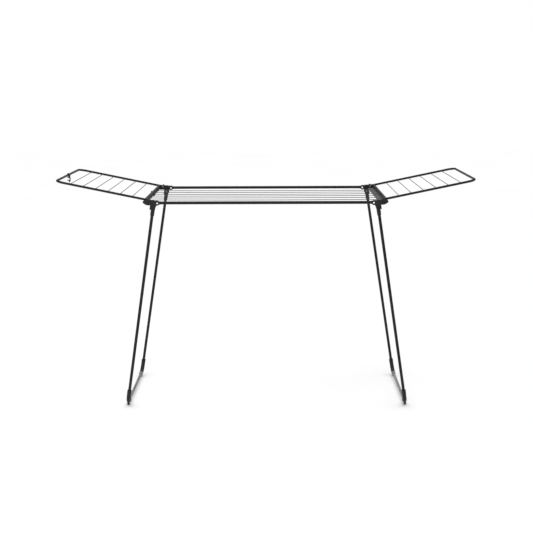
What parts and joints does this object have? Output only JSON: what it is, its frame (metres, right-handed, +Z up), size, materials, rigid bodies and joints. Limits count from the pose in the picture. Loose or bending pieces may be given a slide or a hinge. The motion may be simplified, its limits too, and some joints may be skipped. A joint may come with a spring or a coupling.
{
  "type": "folding clothes drying rack",
  "caption": "Free-standing folding clothes airer with a wire-strung centre frame, two swing-up side wings and two splayed leg frames.",
  "frame": {"origin": "on the floor, under the middle of the rack", "axes": "+X along the rack's length towards the end with the cover plate, +Y to the rear, +Z up"},
  "size_m": [1.8, 0.577, 1.0255],
  "materials": {
    "tube_black": "satin black powder coat",
    "wire_coat": "satin dark grey coating",
    "moulding_black": "fine moulded grain",
    "plate_grey": "fine moulded grain",
    "bar_grey": "satin silver-grey paint",
    "rubber_black": "matt",
    "rivet_steel": "dark zinc"
  },
  "bodies": {
    "centre_frame": {"front_tube": "tube_black", "rear_tube": "tube_black", "left_end_rail": "tube_black", "right_end_rail": "tube_black", "centre_wires": "wire_coat", "front_left_bracket": "moulding_black", "front_right_bracket": "moulding_black", "rear_left_bracket": "moulding_black", "rear_right_bracket": "moulding_black", "end_cover_plate": "plate_grey", "wing_rest_saddle": "moulding_black", "wing_hinge_rivets": "rivet_steel", "leg_pivot_rivets": "rivet_steel"},
    "left_wing": {"left_wing_rail": "tube_black", "left_wing_cross_tube": "tube_black", "left_wing_wires": "wire_coat", "left_wing_front_hinge": "moulding_black", "left_wing_rear_hinge": "moulding_black"},
    "right_wing": {"right_wing_rail": "tube_black", "right_wing_cross_tube": "tube_black", "right_wing_wires": "wire_coat", "right_wing_front_hinge": "moulding_black", "right_wing_rear_hinge": "moulding_black"},
    "left_legs": {"left_front_leg": "tube_black", "left_rear_leg": "tube_black", "left_front_knuckle": "moulding_black", "left_rear_knuckle": "moulding_black", "left_front_foot": "moulding_black", "left_rear_foot": "moulding_black", "left_floor_bar": "bar_grey", "left_bar_collars": "bar_grey", "left_foot_pads": "rubber_black"},
    "right_legs": {"right_front_leg": "tube_black", "right_rear_leg": "tube_black", "right_front_knuckle": "moulding_black", "right_rear_knuckle": "moulding_black", "right_front_foot": "moulding_black", "right_rear_foot": "moulding_black", "right_floor_bar": "bar_grey", "right_bar_collars": "bar_grey", "right_foot_pads": "rubber_black"},
    "lock_clip": {"lock_clip": "moulding_black"}
  },
  "joints": [
    {"name": "left_wing_hinge", "type": "hinge", "parent": "centre_frame", "child": "left_wing", "pos_m": [-0.4976, 0, 0.935], "axis": [0, 1, 0], "range_deg": [0, 168]},
    {"name": "right_wing_hinge", "type": "hinge", "parent": "centre_frame", "child": "right_wing", "pos_m": [0.4976, 0, 0.935], "axis": [0, -1, 0], "range_deg": [0, 168]},
    {"name": "left_leg_hinge", "type": "hinge", "parent": "centre_frame", "child": "left_legs", "pos_m": [-0.48, 0, 0.912], "axis": [0, -1, 0], "range_deg": [0, 96]},
    {"name": "right_leg_hinge", "type": "hinge", "parent": "centre_frame", "child": "right_legs", "pos_m": [0.48, 0, 0.912], "axis": [0, 1, 0], "range_deg": [0, 98.5]},
    {"name": "lock_clip_swing", "type": "hinge", "parent": "left_wing", "child": "lock_clip", "pos_m": [-0.895, 0.002, 1.01751], "axis": [0, 1, 0], "continuous": true}
  ]
}
